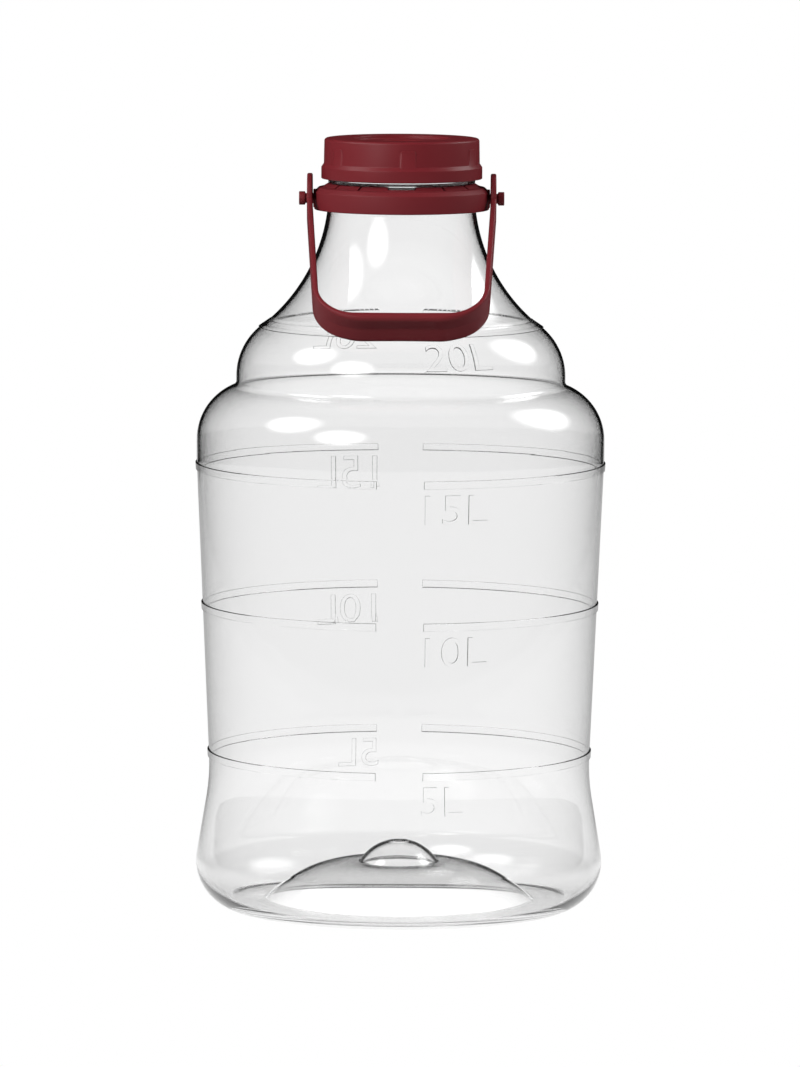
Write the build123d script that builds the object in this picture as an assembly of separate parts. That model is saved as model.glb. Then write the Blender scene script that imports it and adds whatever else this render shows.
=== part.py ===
from build123d import *
import math
import os

# A twenty litre PET carboy: a clear blown bottle with litre bands, a wide screw cap with a bung
# bore, a clip-on collar with two headed trunnions, and a bail handle that swings on them.
# Millimetres and degrees. +Z is up, the origin is the middle of the foot, and the front is -Y.

# ---------- bottle: base ----------
foot_inner_radius = 89.0
foot_edge_fillet = 2.5
punt_height = 27.5
punt_arc_radius = 75.0
dome_base_radius = 25.0
dome_height = 14.5
base_wall = 2.0

# ---------- bottle: heel, flare and waist ----------
heel_max_radius = 135.2
heel_radius = 32.0
heel_height = 30.0
heel_floor_fillet = 12.0
heel_lean = 9.1
waist_radius = 126.6
waist_height = 95.0
waist_arc_radius = 137.0
body_lean = 2.45
body_wall = 1.2

# ---------- bottle: shoulders and neck ----------
body_top_radius = 135.3
body_top_drop = 209.0
lower_shoulder_drop = 196.0
lower_shoulder_radius = 38.0
waistline_fillet = 4.0
upper_shoulder_max_radius = 109.2
upper_shoulder_drop = 154.0
upper_shoulder_radius = 41.9
upper_shoulder_sweep = 56.8
neck_flare_radius = 115.5
neck_foot_radius = 49.1
shoulder_wall = 1.8
neck_wall = 2.6

# ---------- bottle: neck finish ----------
finish_radius = 46.6
mouth_radius = 43.2
bottle_height = 508.0
bead_radius = 48.6
bead_drop = 25.6
bead_thickness = 2.4
bead_chamfer = 0.4
neck_foot_drop = 6.0
lug_radius = 50.9
lug_height = 3.5
lug_half_angle = 10.1
lug_root = 0.5

# ---------- bottle: litre bands ----------
top_band_drop = 4.5
band_steps = [93.2, 98.6]
shoulder_band_rise = 0.2
band_height = 5.2
band_proud = 0.95
band_gap = 30.6
band_root = 0.7

# ---------- screw cap ----------
cap_top_radius = 51.3
cap_foot_radius = 51.6
skirt_radius = 53.3
skirt_height = 7.6
skirt_flare_height = 2.5
cap_wall = 2.3
cap_top_fillet = 1.8
cap_bead_gap = 0.5
thread_room = 2.3
deck_thickness = 2.2
recess_radius = 31.8
recess_depth = 2.1
bung_bore_radius = 15.0
bung_bore_chamfer = 2.0
bung_sleeve_length = 8.0
bung_sleeve_wall = 2.4
rib_count = 6
rib_phase = 4.0
rib_width = 11.0
rib_proud = 0.5
rib_top_drop = 6.0

# ---------- cap gasket ----------
gasket_inner_radius = 42.5
gasket_side_gap = 0.3
gasket_thickness = 1.8

# ---------- handle collar ----------
collar_drop = 43.2
collar_radius = 57.9
collar_wall_height = 11.9
collar_chamfer_height = 2.7
collar_ledge_radius = 55.2
collar_cone_radius = 52.3
collar_cone_rise = 0.6
collar_foot_chamfer = 0.6
crown_radius = 48.5
collar_wall = 2.3
neck_gap = 0.3
crown_gap = 0.2
slit_angles = [33.0, 57.0]
slit_width = 1.8
slit_depth = 3.0
lug_gap_angle = 0.5
lug_gap = 0.25
web_count = 16
web_thickness = 1.6
web_foot_gap = 1.5

# ---------- trunnions ----------
trunnion_rise = 7.2
boss_radius = 6.2
boss_proud = 0.6
boss_chamfer = 0.6
boss_root = 6.0
pin_radius = 3.3
head_radius = 4.5
head_thickness = 3.85
head_chamfer = 1.2
arm_side_gap = 0.4
arm_end_play = 1.5

# ---------- carry handle ----------
arm_thickness = 3.7
arm_width = 21.7
arm_straight = 12.0
arm_lean = 3.0
arm_bend_radius = 60.0
eye_radius = 16.6
eye_fillet = 1.0
pin_hole_gap = 0.08
keyhole_offset = 9.4
keyhole_gap = 0.4
keyhole_slot_width = 6.0
grip_inner_reach = 124.0
grip_depth = 7.4
grip_inner_corner = 24.0
grip_outer_corner = 34.0
bail_fillet = 1.6
rest_gap = 0.6

# ---------- values that follow from the sizes above ----------
body_top_height = bottle_height - body_top_drop
lower_shoulder_height = bottle_height - lower_shoulder_drop
upper_shoulder_height = bottle_height - upper_shoulder_drop
bead_bottom_height = bottle_height - bead_drop
finish_foot_height = bead_bottom_height - neck_foot_drop
collar_bottom_height = bottle_height - collar_drop
trunnion_height = collar_bottom_height + trunnion_rise
boss_face = collar_radius + boss_proud
heel_centre_radius = heel_max_radius - heel_radius
punt_centre_height = punt_height - punt_arc_radius
punt_centre_radius = foot_inner_radius - math.sqrt(punt_arc_radius**2 - punt_centre_height**2)
lower_shoulder_centre_radius = body_top_radius - lower_shoulder_radius
upper_shoulder_centre_radius = upper_shoulder_max_radius - upper_shoulder_radius
cap_bottom_height = bead_bottom_height + bead_thickness + cap_bead_gap
cap_top_height = bottle_height + gasket_thickness + deck_thickness
gasket_outer_radius = finish_radius + thread_room - gasket_side_gap
pin_length = arm_side_gap + arm_thickness + arm_end_play
pin_hole_radius = pin_radius + pin_hole_gap
arm_inner_face = boss_face + arm_side_gap
grip_outer_reach = grip_inner_reach + grip_depth


def polar(centre, radius, angle):
    """A point of the (radius, height) section plane at an angle about a centre."""
    turn = math.radians(angle)
    return (centre[0] + radius * math.cos(turn), centre[1] + radius * math.sin(turn))


def angle_of(centre, point):
    return math.degrees(math.atan2(point[1] - centre[1], point[0] - centre[0]))


def path_edges(pieces):
    """Edges through a list of points and arcs (centre, radius, start, end), joined by straight lines."""
    edges = []
    last = None
    for piece in pieces:
        if len(piece) == 2:
            start = end = piece
            arc = None
        else:
            centre, radius, start_angle, end_angle = piece
            start = polar(centre, radius, start_angle)
            end = polar(centre, radius, end_angle)
            middle = polar(centre, radius, (start_angle + end_angle) / 2)
            arc = (start, middle, end)
        if last is not None and math.dist(last, start) > 1e-4:
            edges.append(Line(last, start))
        if arc:
            edges.append(ThreePointArc(*arc))
        last = end
    return edges


def section_face(edges):
    """A closed face in the XZ plane from edges drawn in the (radius, height) plane."""
    ends = (edges[-1] @ 1, edges[0] @ 0)
    if (ends[0] - ends[1]).length > 1e-6:
        edges = edges + [Line(*ends)]
    return Plane.XZ * make_face(edges)


def ring(points):
    """A ring whose section is a closed polygon of (radius, height) points."""
    return revolve(section_face(path_edges(list(points) + [points[0]])), Axis.Z)


def wedge(inner, outer, bottom, top, middle_angle, half_angle):
    """A block of a ring, centred on an angle from the front and half_angle wide each way."""
    block = Plane.XZ * Pos((inner + outer) / 2, (bottom + top) / 2) * Rectangle(outer - inner, top - bottom)
    start = middle_angle - half_angle - 90
    return Rot(0, 0, start) * revolve(block, Axis.Z, 2 * half_angle)


# ---------- bottle ----------
def punt_path(inset):
    """Underside of the base from the axis to the foot ring; inset lifts it to the inner face."""
    punt_centre = (punt_centre_radius, punt_centre_height)
    junction_height = punt_centre_height + math.sqrt(
        punt_arc_radius**2 - (dome_base_radius - punt_centre_radius) ** 2)
    dome_radius = (dome_base_radius**2 + dome_height**2) / (2 * dome_height)
    dome_centre = (0.0, junction_height + dome_height - dome_radius)
    junction = (dome_base_radius, junction_height)
    dome_angle = angle_of(dome_centre, junction)
    punt_angle = angle_of(punt_centre, junction)
    foot_radius = foot_edge_fillet
    foot_centre_radius = punt_centre_radius + math.sqrt(
        (punt_arc_radius + foot_radius) ** 2 - (foot_radius - punt_centre_height) ** 2)
    foot_centre = (foot_centre_radius, foot_radius)
    foot_angle = angle_of(punt_centre, foot_centre)
    if inset > 0:
        floor_point = (foot_centre_radius + inset, inset)
        return [(dome_centre, dome_radius + inset, 90, dome_angle),
                (punt_centre, punt_arc_radius + inset, punt_angle, foot_angle),
                floor_point]
    return [(dome_centre, dome_radius, 90, dome_angle),
            (punt_centre, punt_arc_radius, punt_angle, foot_angle),
            (foot_centre, foot_radius, foot_angle + 180, 270)]


def outer_heel():
    """Fillet from the foot ring's flat into the big round heel."""
    heel_centre = (heel_centre_radius, heel_height)
    fillet_gap = heel_radius - heel_floor_fillet
    fillet_rise = heel_height - heel_floor_fillet
    fillet_centre = (heel_centre_radius + math.sqrt(fillet_gap**2 - fillet_rise**2), heel_floor_fillet)
    heel_start = angle_of(heel_centre, fillet_centre)
    return [(fillet_centre, heel_floor_fillet, -90, heel_start),
            (heel_centre, heel_radius, heel_start, heel_lean)]


def inner_heel():
    """One round corner from the flat inner floor up to the side wall."""
    corner_radius = heel_height - base_wall
    corner_centre = (heel_max_radius - body_wall - corner_radius, heel_height)
    return [(corner_centre, corner_radius, -90, heel_lean)]


def side_path(heel, wall, shoulder, neck):
    """Side of the bottle from the heel to the collar, each stretch set in by its own wall."""
    waist_centre = (waist_radius + waist_arc_radius, waist_height)
    lower_centre = (lower_shoulder_centre_radius, lower_shoulder_height)
    crease_radius = upper_shoulder_max_radius + waistline_fillet
    crease_rise = math.sqrt((lower_shoulder_radius + waistline_fillet) ** 2
                            - (crease_radius - lower_shoulder_centre_radius) ** 2)
    crease_centre = (crease_radius, lower_shoulder_height + crease_rise)
    lower_end = angle_of(lower_centre, crease_centre)
    upper_centre = (upper_shoulder_centre_radius, upper_shoulder_height)
    flare_centre, flare_start, flare_end = neck_flare()
    return heel + [
        (waist_centre, waist_arc_radius + wall, 180 + heel_lean, 180 - body_lean),
        (body_top_radius - wall, body_top_height),
        (lower_centre, lower_shoulder_radius - shoulder, 0, lower_end),
        (crease_centre, waistline_fillet + shoulder, 180 + lower_end, 180),
        (upper_centre, upper_shoulder_radius - shoulder, 0, upper_shoulder_sweep),
        (flare_centre, neck_flare_radius + neck, flare_start, flare_end)]


def neck_flare():
    """Centre and end angles of the hollow arc from the upper shoulder to the foot of the neck."""
    foot = polar((upper_shoulder_centre_radius, upper_shoulder_height), upper_shoulder_radius,
                 upper_shoulder_sweep)
    top = (neck_foot_radius, collar_bottom_height)
    half = math.dist(foot, top) / 2
    middle = ((foot[0] + top[0]) / 2, (foot[1] + top[1]) / 2)
    reach = math.sqrt(neck_flare_radius**2 - half**2)
    across = ((top[1] - foot[1]) / (2 * half), (foot[0] - top[0]) / (2 * half))
    centre = (middle[0] + across[0] * reach, middle[1] + across[1] * reach)
    return centre, angle_of(centre, foot) % 360, angle_of(centre, top) % 360


def upper_surface_radius(height):
    """Outer radius of the bottle where the upper shoulder meets the neck flare."""
    centre, start, _ = neck_flare()
    join_height = polar(centre, neck_flare_radius, start)[1]
    if height < join_height:
        rise = height - upper_shoulder_height
        return upper_shoulder_centre_radius + math.sqrt(upper_shoulder_radius**2 - rise**2)
    return centre[0] - math.sqrt(neck_flare_radius**2 - (centre[1] - height) ** 2)


def body_surface_radius(height):
    """Outer radius of the cone above the heel, of the waist's arc, or of the straight wall above it."""
    heel_top = polar((heel_centre_radius, heel_height), heel_radius, heel_lean)
    waist_centre = (waist_radius + waist_arc_radius, waist_height)
    arc_foot = polar(waist_centre, waist_arc_radius, 180 + heel_lean)
    arc_top = polar(waist_centre, waist_arc_radius, 180 - body_lean)
    if arc_foot[1] < height < arc_top[1]:
        return waist_centre[0] - math.sqrt(waist_arc_radius**2 - (height - waist_height) ** 2)
    below, above = arc_top, (body_top_radius, body_top_height)
    if height <= arc_foot[1]:
        below, above = heel_top, arc_foot
    share = (height - below[1]) / (above[1] - below[1])
    return below[0] + share * (above[0] - below[0])


def litre_band(height, surface):
    """A low raised ring that marks a level, open at the front and at the back."""
    low = height - band_height / 2
    high = height + band_height / 2
    band = ring([(surface(low) - band_root, low), (surface(low) + band_proud, low),
                 (surface(high) + band_proud, high), (surface(high) - band_root, high)])
    return band - Pos(0, 0, height) * Box(band_gap, 4 * heel_max_radius, 2 * band_height)


def bottle():
    finish_foot = (finish_radius, finish_foot_height)
    outer = punt_path(0) + side_path(outer_heel(), 0, 0, 0) + [finish_foot, (finish_radius, bottle_height)]
    inner = punt_path(base_wall) + side_path(inner_heel(), body_wall, shoulder_wall, neck_wall)
    inner += [(mouth_radius, finish_foot_height), (mouth_radius, bottle_height)]
    inner_edges = path_edges(inner)
    outer_edges = path_edges(outer)
    rim = [Line(outer_edges[-1] @ 1, inner_edges[-1] @ 1)]
    axis = [Line(inner_edges[0] @ 0, outer_edges[0] @ 0)]
    shell = revolve(Plane.XZ * make_face(outer_edges + rim + inner_edges + axis), Axis.Z)
    bead_top = bead_bottom_height + bead_thickness
    bead_face = bead_radius - bead_chamfer
    bead = ring([(finish_radius - band_root, bead_bottom_height), (bead_face, bead_bottom_height),
                 (bead_radius, bead_bottom_height + bead_chamfer), (bead_radius, bead_top - bead_chamfer),
                 (bead_face, bead_top), (finish_radius - band_root, bead_top)])
    shell += bead
    for angle in (0, 180):
        shell += wedge(finish_radius - band_root, lug_radius, bead_bottom_height - lug_height,
                       bead_bottom_height + lug_root, angle, lug_half_angle)
    top_band = body_top_height - top_band_drop
    for index in range(len(band_steps) + 1):
        shell += litre_band(top_band - sum(band_steps[:index]), body_surface_radius)
    centre, start, _ = neck_flare()
    join_height = polar(centre, neck_flare_radius, start)[1]
    shell += litre_band(join_height + shoulder_band_rise, upper_surface_radius)
    return shell


# ---------- screw cap and gasket ----------
def screw_cap():
    top = cap_top_height
    bottom = cap_bottom_height
    flare_top = bottom + skirt_height + skirt_flare_height
    deck_under = top - recess_depth - deck_thickness
    rim_under = top - deck_thickness
    thread_radius = finish_radius + thread_room
    skirt_inner = skirt_radius - cap_wall
    sleeve_radius = bung_bore_radius + bung_sleeve_wall
    chamfer_top = top - recess_depth
    fillet_centre = (cap_top_radius - cap_top_fillet, top - cap_top_fillet)
    section = [(recess_radius, top),
               (fillet_centre, cap_top_fillet, 90, 0),
               (cap_foot_radius, flare_top),
               (skirt_radius, bottom + skirt_height),
               (skirt_radius, bottom),
               (skirt_inner, bottom),
               (skirt_inner, bottom + skirt_height),
               (thread_radius, bottom + skirt_height + skirt_inner - thread_radius),
               (thread_radius, rim_under),
               (recess_radius + cap_wall, rim_under),
               (recess_radius + cap_wall, deck_under),
               (sleeve_radius, deck_under),
               (sleeve_radius, deck_under - bung_sleeve_length),
               (bung_bore_radius, deck_under - bung_sleeve_length),
               (bung_bore_radius, chamfer_top - bung_bore_chamfer),
               (bung_bore_radius + bung_bore_chamfer, chamfer_top),
               (recess_radius, chamfer_top)]
    cap = revolve(section_face(path_edges(section)), Axis.Z)
    rib_half_angle = math.degrees(rib_width / 2 / cap_foot_radius)
    for index in range(rib_count):
        angle = rib_phase + index * 360 / rib_count
        cap += wedge(cap_top_radius - rib_proud, cap_foot_radius + rib_proud, bottom + skirt_height,
                     top - rib_top_drop, angle, rib_half_angle)
    return cap


def cap_gasket():
    return ring([(gasket_inner_radius, bottle_height), (gasket_outer_radius, bottle_height),
                 (gasket_outer_radius, bottle_height + gasket_thickness),
                 (gasket_inner_radius, bottle_height + gasket_thickness)])


# ---------- handle collar ----------
def trunnion(side):
    """Boss, pin and chamfered head that stand out of one side of the collar along X."""
    head_start = boss_face + pin_length
    root = collar_radius - boss_root
    profile = [(0, root), (boss_radius, root), (boss_radius, boss_face - boss_chamfer),
               (boss_radius - boss_chamfer, boss_face), (pin_radius, boss_face), (pin_radius, head_start),
               (head_radius - head_chamfer, head_start), (head_radius, head_start + head_chamfer),
               (head_radius, head_start + head_thickness), (0, head_start + head_thickness)]
    turned = revolve(section_face(path_edges(profile + [profile[0]])), Axis.Z)
    return Pos(0, 0, trunnion_height) * Rot(0, side * 90, 0) * turned


def handle_collar():
    bottom = collar_bottom_height
    wall_top = bottom + collar_wall_height
    ledge_height = wall_top + collar_chamfer_height
    cone_height = ledge_height + collar_cone_rise
    crown_height = bead_bottom_height - crown_gap
    inner_foot = neck_foot_radius + neck_gap
    crown_inner = finish_radius + neck_gap
    groove_inner = inner_foot + collar_wall
    groove_outer = collar_radius - collar_wall
    body = ring([(inner_foot, bottom), (groove_inner, bottom), (groove_inner, wall_top),
                 (groove_outer, wall_top), (groove_outer, bottom), (collar_radius - collar_foot_chamfer, bottom),
                 (collar_radius, bottom + collar_foot_chamfer), (collar_radius, wall_top),
                 (collar_ledge_radius, ledge_height), (collar_cone_radius, cone_height),
                 (crown_radius, crown_height), (crown_inner, crown_height), (crown_inner, finish_foot_height)])
    web = Box(groove_outer - groove_inner + 1, web_thickness, collar_wall_height - web_foot_gap)
    web_middle = ((groove_inner + groove_outer) / 2, 0, (bottom + web_foot_gap + wall_top) / 2)
    for index in range(web_count):
        body += Rot(0, 0, (index + 0.5) * 360 / web_count) * Pos(*web_middle) * web
    slit_bottom = crown_height - slit_depth
    slit = Pos(0, -(crown_inner + collar_cone_radius) / 2, slit_bottom + slit_depth) * Box(
        slit_width, collar_cone_radius - crown_inner + 1, 2 * slit_depth)
    for angle in slit_angles:
        for turn in (angle, -angle, 180 - angle, 180 + angle):
            body -= Rot(0, 0, turn) * slit
    window_bottom = bead_bottom_height - lug_height - lug_gap
    for angle in (0, 180):
        body -= wedge(crown_inner - 1, lug_radius + lug_gap, window_bottom, crown_height + 1, angle,
                      lug_half_angle + lug_gap_angle)
    for side in (-1, 1):
        body += trunnion(side) - Pos(0, 0, trunnion_height) * Cylinder(
            groove_outer + collar_wall / 2, 4 * boss_radius)
    return body


# ---------- carry handle ----------
def arm_outline(offset, corner_reach, corner_radius):
    """Half bail outline from the pin line to the middle of the grip, set out by offset."""
    lean = math.tan(math.radians(arm_lean))
    face = arm_inner_face + offset
    foot = face - lean * (corner_reach - arm_straight)
    return FilletPolyline((face, 0), (face, -arm_straight), (foot, -corner_reach), (0, -corner_reach),
                          radius=[arm_bend_radius + offset, corner_radius])


def bail_face(outer, inner):
    """Face between an outer and an inner half outline, mirrored over the middle."""
    half = make_face([*outer.edges(), *inner.edges(), Line(outer @ 0, inner @ 0), Line(outer @ 1, inner @ 1)])
    return half + mirror(half, Plane.YZ)


def bail():
    """The two strap arms and the thick grip as one bent bar, with its long edges rounded."""
    inner = arm_outline(0, grip_inner_reach, grip_inner_corner)
    outer = arm_outline(arm_thickness, grip_outer_reach, grip_outer_corner)
    bar = extrude(bail_face(outer, inner), arm_width / 2, both=True)
    rims = bar.edges().filter_by(Plane.XY).filter_by(lambda edge: edge.center().Y < -arm_thickness)
    return fillet(rims, bail_fillet)


def rest_angle():
    """Swing from straight down to where the grip's rounded back edge meets the upper shoulder."""
    across = -(arm_width / 2 - bail_fillet)
    along = grip_outer_reach - bail_fillet
    swing_radius = math.hypot(along, across)
    target = upper_shoulder_radius + rest_gap + bail_fillet
    down = trunnion_height - upper_shoulder_height
    out = upper_shoulder_centre_radius
    reach = math.hypot(down, out)
    direction = math.degrees(math.atan2(out, down))
    opening = math.degrees(math.acos((swing_radius**2 + reach**2 - target**2) / (2 * swing_radius * reach)))
    return direction + opening + math.degrees(math.atan2(-across, along))


def carry_handle():
    eye_blank = Rot(0, 90, 0) * Cylinder(eye_radius, arm_thickness)
    eye_blank = fillet(eye_blank.edges().filter_by(GeomType.CIRCLE), eye_fillet)
    entry = Rot(0, 90, 0) * Cylinder(head_radius + keyhole_gap, 3 * arm_thickness)
    slot = Box(3 * arm_thickness, keyhole_offset, keyhole_slot_width)
    seat = Rot(0, 90, 0) * Cylinder(pin_hole_radius, 3 * arm_thickness)
    handle = bail()
    for side in (-1, 1):
        middle = side * (arm_inner_face + arm_thickness / 2)
        handle += Pos(middle, 0, 0) * eye_blank
        handle -= Pos(middle, 0, 0) * seat
        handle -= Pos(middle, -keyhole_offset, 0) * entry
        handle -= Pos(middle, -keyhole_offset / 2, 0) * slot
    return Pos(0, 0, trunnion_height) * Rot(90 - rest_angle(), 0, 0) * handle


def main():
    os.makedirs("parts", exist_ok=True)
    nodes = {"bottle": bottle, "screw_cap": screw_cap, "cap_gasket": cap_gasket,
             "handle_collar": handle_collar, "carry_handle": carry_handle}
    for name, build in nodes.items():
        export_step(build(), "parts/" + name + ".step")
    print("handle rests at", round(rest_angle(), 3), "degrees from straight down")


main()
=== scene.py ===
import math

import bmesh
import bpy
from mathutils import Matrix, Vector


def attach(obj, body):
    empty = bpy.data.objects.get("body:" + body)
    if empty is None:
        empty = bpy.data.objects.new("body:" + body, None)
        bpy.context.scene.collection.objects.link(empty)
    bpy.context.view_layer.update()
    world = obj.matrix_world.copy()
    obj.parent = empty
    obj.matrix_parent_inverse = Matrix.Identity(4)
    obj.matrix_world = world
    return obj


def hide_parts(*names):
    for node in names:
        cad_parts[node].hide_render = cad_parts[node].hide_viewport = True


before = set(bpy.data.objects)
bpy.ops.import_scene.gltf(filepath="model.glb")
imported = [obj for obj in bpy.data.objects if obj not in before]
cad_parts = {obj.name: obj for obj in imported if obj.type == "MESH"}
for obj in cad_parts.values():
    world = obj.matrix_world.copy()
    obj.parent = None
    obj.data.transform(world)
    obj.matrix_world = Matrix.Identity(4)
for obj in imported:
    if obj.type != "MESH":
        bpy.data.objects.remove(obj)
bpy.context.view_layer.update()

# ---------- camera ----------
# A long lens from well back and above the cap, turned a quarter of a degree about its own line of
# sight. Places are in metres, with the bottle's foot at the origin.
frame_height_px = 1067
focal_length_px = 8183.0
sensor_mm = 36.0
camera_place = (-0.0001, -5.4092, 0.8270)
camera_dip = 6.1
camera_lean = 0.26

lens = bpy.data.cameras.new("studio_camera")
lens.sensor_width = sensor_mm
lens.lens = focal_length_px / frame_height_px * sensor_mm
lens.clip_start = 0.1
lens.clip_end = 60.0
camera = bpy.data.objects.new("studio_camera", lens)
tilt = Matrix.Rotation(math.radians(90 - camera_dip), 4, "X")
lean = Matrix.Rotation(math.radians(camera_lean), 4, "Z")
camera.matrix_world = Matrix.Translation(camera_place) @ tilt @ lean
bpy.context.scene.collection.objects.link(camera)
bpy.context.scene.camera = camera
bpy.context.scene.view_settings.view_transform = "Standard"
bpy.context.scene.view_settings.look = "None"
bpy.context.scene.cycles.use_denoising = True
bpy.context.scene.cycles.max_bounces = 24
bpy.context.scene.cycles.transmission_bounces = 24
bpy.context.scene.cycles.glossy_bounces = 12

# ---------- bottle wall ----------
# The carboy itself: one stretch-blown PET shell, thin in the body and thicker at the neck, where
# the preform was gripped. It stands on a foot ring round a domed punt with the gate mark on top.
# Sizes from here on are in mm, and angles in degrees.
MM = 0.001
foot_ring_inner = 89.0
foot_fillet = 2.5
punt_rise = 27.5
punt_arc = 75.0
dome_foot = 25.0
dome_rise = 14.5
base_wall = 2.0
gate_radius = 6.1
gate_rise = 0.5
gate_edge = 0.3
heel_max = 135.2
heel_arc = 32.0
heel_height = 30.0
heel_fillet = 12.0
heel_lean = 9.1
waist = 126.6
waist_height = 95.0
waist_arc = 137.0
body_lean = 2.45
body_wall = 1.2
body_top = 135.3
body_top_height = 299.0
low_shoulder_height = 312.0
low_shoulder_arc = 38.0
crease_fillet = 4.0
high_shoulder_max = 109.2
high_shoulder_height = 354.0
high_shoulder_arc = 41.9
high_shoulder_sweep = 56.8
shoulder_wall = 1.8
flare_arc = 115.5
neck_foot = 49.1
neck_foot_height = 464.8
neck_wall = 2.6
finish_radius = 46.6
finish_foot_height = 476.4
mouth_radius = 43.2
rim_height = 508.0
rim_rounding = 0.7
bead_radius = 48.6
bead_low = 482.4
bead_high = 484.8
bead_edge = 0.4
arc_spacing_angle = 4.0
point_spacing = 8.0
same_place = 0.002
on_axis = 1e-6
flare_steps = 24


def polar(centre, radius, angle):
    """A point at an angle about a centre in the (radius, height) section."""
    turn = math.radians(angle)
    return (centre[0] + radius * math.cos(turn), centre[1] + radius * math.sin(turn))


def angle_of(centre, point):
    """The angle at which a point lies about a centre."""
    return math.degrees(math.atan2(point[1] - centre[1], point[0] - centre[0]))


def arc_points(centre, radius, start, end):
    """Points along an arc, close enough together to look round and to carry the finer marks."""
    sweep = abs(end - start)
    steps = max(1, math.ceil(sweep / arc_spacing_angle),
                math.ceil(math.radians(sweep) * radius / point_spacing))
    return [polar(centre, radius, start + (end - start) * step / steps) for step in range(steps + 1)]


def line_points(start, end):
    """Points between two corners, none of them a corner."""
    steps = math.ceil(math.dist(start, end) / point_spacing)
    return [tuple(a + (b - a) * step / steps for a, b in zip(start, end)) for step in range(1, steps)]


def outline(*stretches):
    """Section points through corners and arcs, where an arc is (centre, radius, from, to)."""
    points = []
    for stretch in stretches:
        new = [stretch] if len(stretch) == 2 else arc_points(*stretch)
        if points and math.dist(points[-1], new[0]) < same_place:
            new = new[1:]
        elif points:
            points += line_points(points[-1], new[0])
        points += new
    return points


def shown(name, data):
    """A scene object for a mesh, a curve or a lamp, left at the origin."""
    thing = bpy.data.objects.new(name, data)
    bpy.context.scene.collection.objects.link(thing)
    return thing


def made(name, solid):
    """A scene object made from an edit mesh, which is used up."""
    mesh = bpy.data.meshes.new(name)
    solid.to_mesh(mesh)
    solid.free()
    return shown(name, mesh)


def evaluated(thing):
    """The plain mesh of an object after its modifiers."""
    return bpy.data.meshes.new_from_object(thing.evaluated_get(bpy.context.evaluated_depsgraph_get()))


def bridge(solid, here, there):
    """Faces between two closed rings of vertices, which may share points on the axis."""
    for index in range(len(here)):
        after = (index + 1) % len(here)
        corners = list(dict.fromkeys([here[index], there[index], there[after], here[after]]))
        if len(corners) > 2:
            solid.faces.new(corners)


def turned(name, section, start=0.0, sweep=360.0, steps=160):
    """Closed solid made by turning a closed outline, in mm, about the axis; 0 degrees is the front."""
    full = abs(sweep) >= 360
    count = steps if full else max(2, math.ceil(steps * sweep / 360)) + 1
    solid = bmesh.new()
    poles = {}
    columns = []
    for step in range(count):
        angle = math.radians(start + sweep * step / (count if full else count - 1))
        column = []
        for index, (radius, height) in enumerate(section):
            if radius < on_axis and index in poles:
                column.append(poles[index])
                continue
            place = (radius * math.sin(angle) * MM, -radius * math.cos(angle) * MM, height * MM)
            column.append(solid.verts.new(place))
            if radius < on_axis:
                poles[index] = column[-1]
        columns.append(column)
    for step in range(count if full else count - 1):
        bridge(solid, columns[step], columns[(step + 1) % count])
    if not full:
        solid.faces.new(columns[0])
        solid.faces.new(columns[-1])
    bmesh.ops.recalc_face_normals(solid, faces=solid.faces)
    return made(name, solid)


def combine(base, others, operation="UNION"):
    """Joins closed solids that don't touch each other to base, or cuts base by them. It uses them up."""
    solid = bmesh.new()
    for other in others:
        solid.from_mesh(other.data)
        bpy.data.objects.remove(other)
    tool = made("tool", solid)
    step = base.modifiers.new("combine", "BOOLEAN")
    step.operation = operation
    step.solver = "MANIFOLD"
    step.object = tool
    result = evaluated(base)
    base.modifiers.clear()
    base.data = result
    bpy.data.objects.remove(tool)


def dressed(thing, material, crease=30.0):
    """Gives a piece its material, and smooth shading broken at edges sharper than the crease angle."""
    thing.data.materials.clear()
    thing.data.materials.append(material)
    thing.data.shade_smooth()
    thing.data.set_sharp_from_angle(angle=math.radians(crease))


heel_centre = (heel_max - heel_arc, heel_height)
heel_foot_reach = math.sqrt((heel_arc - heel_fillet) ** 2 - (heel_height - heel_fillet) ** 2)
heel_foot_centre = (heel_centre[0] + heel_foot_reach, heel_fillet)
heel_foot_angle = angle_of(heel_centre, heel_foot_centre)
inner_corner = heel_height - base_wall
inner_corner_centre = (heel_max - body_wall - inner_corner, heel_height)
punt_low = punt_rise - punt_arc
punt_centre = (foot_ring_inner - math.sqrt(punt_arc**2 - punt_low**2), punt_low)
dome_foot_height = punt_centre[1] + math.sqrt(punt_arc**2 - (dome_foot - punt_centre[0]) ** 2)
dome_arc = (dome_foot**2 + dome_rise**2) / (2 * dome_rise)
dome_centre = (0.0, dome_foot_height + dome_rise - dome_arc)
dome_angle = angle_of(dome_centre, (dome_foot, dome_foot_height))
punt_angle = angle_of(punt_centre, (dome_foot, dome_foot_height))
foot_reach = math.sqrt((punt_arc + foot_fillet) ** 2 - (foot_fillet - punt_centre[1]) ** 2)
foot_centre = (punt_centre[0] + foot_reach, foot_fillet)
foot_angle = angle_of(punt_centre, foot_centre)
waist_centre = (waist + waist_arc, waist_height)
low_shoulder_centre = (body_top - low_shoulder_arc, low_shoulder_height)
crease_radius = high_shoulder_max + crease_fillet
crease_reach = crease_radius - low_shoulder_centre[0]
crease_rise = math.sqrt((low_shoulder_arc + crease_fillet) ** 2 - crease_reach**2)
crease_centre = (crease_radius, low_shoulder_height + crease_rise)
crease_angle = angle_of(low_shoulder_centre, crease_centre)
high_shoulder_centre = (high_shoulder_max - high_shoulder_arc, high_shoulder_height)
flare_foot = polar(high_shoulder_centre, high_shoulder_arc, high_shoulder_sweep)
flare_top = (neck_foot, neck_foot_height)
flare_chord = math.dist(flare_foot, flare_top)
flare_reach = math.sqrt(flare_arc**2 - (flare_chord / 2) ** 2)
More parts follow.
